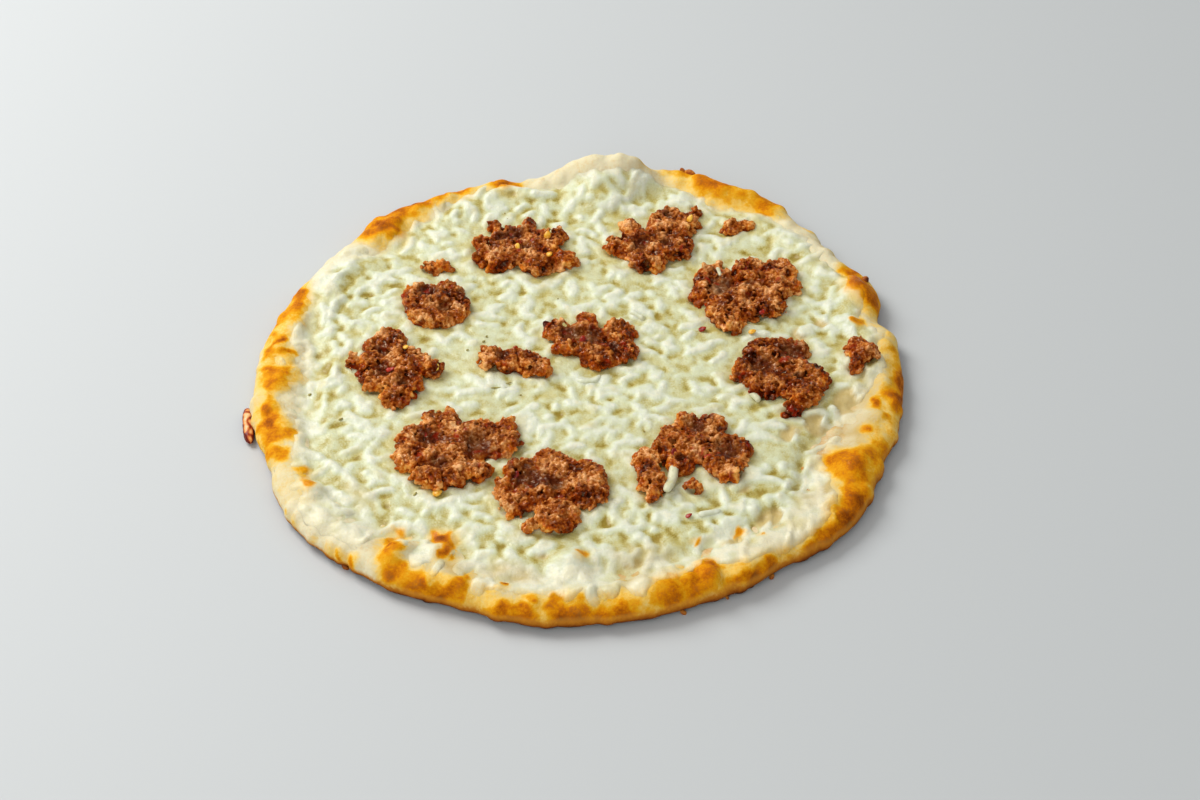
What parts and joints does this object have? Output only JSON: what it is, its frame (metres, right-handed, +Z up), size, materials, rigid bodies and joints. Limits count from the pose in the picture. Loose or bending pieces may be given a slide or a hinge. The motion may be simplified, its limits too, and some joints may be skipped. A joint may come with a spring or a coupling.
{
  "type": "sujuk and cheese pie",
  "caption": "Round baked flatbread pie with a puffed, blistered rim, a bed of melted shredded cheese and scattered clumps of spiced minced beef sausage.",
  "frame": {"origin": "middle of the flat underside, which lies on the board or plate", "axes": "+Z up out of the cheese; -Y is the side nearest the eater in the picture and +X is that side's right"},
  "size_m": [0.2473, 0.2509, 0.0212],
  "materials": {
    "dough": "baked wheat dough, cream to golden brown, dry and finely pitted",
    "cheese": "melted shredded white cheese, pale cream, soft and moist",
    "browned_cheese": "cheese that ran over the edge and baked to a red-brown curl",
    "sujuk": "coarse minced spiced beef sausage, red-brown and greasy"
  },
  "bodies": {
    "root": {"crust": "dough", "cheese": "cheese", "leaked_cheese": "browned_cheese", "sujuk_back_left": "sujuk", "sujuk_back_right": "sujuk", "sujuk_back_right_crumb": "sujuk", "sujuk_right_back": "sujuk", "sujuk_right": "sujuk", "sujuk_right_edge": "sujuk", "sujuk_middle": "sujuk", "sujuk_middle_left": "sujuk", "sujuk_left_back": "sujuk", "sujuk_left_back_crumb": "sujuk", "sujuk_left": "sujuk", "sujuk_front_left": "sujuk", "sujuk_front": "sujuk", "sujuk_front_right": "sujuk"}
  },
  "joints": []
}
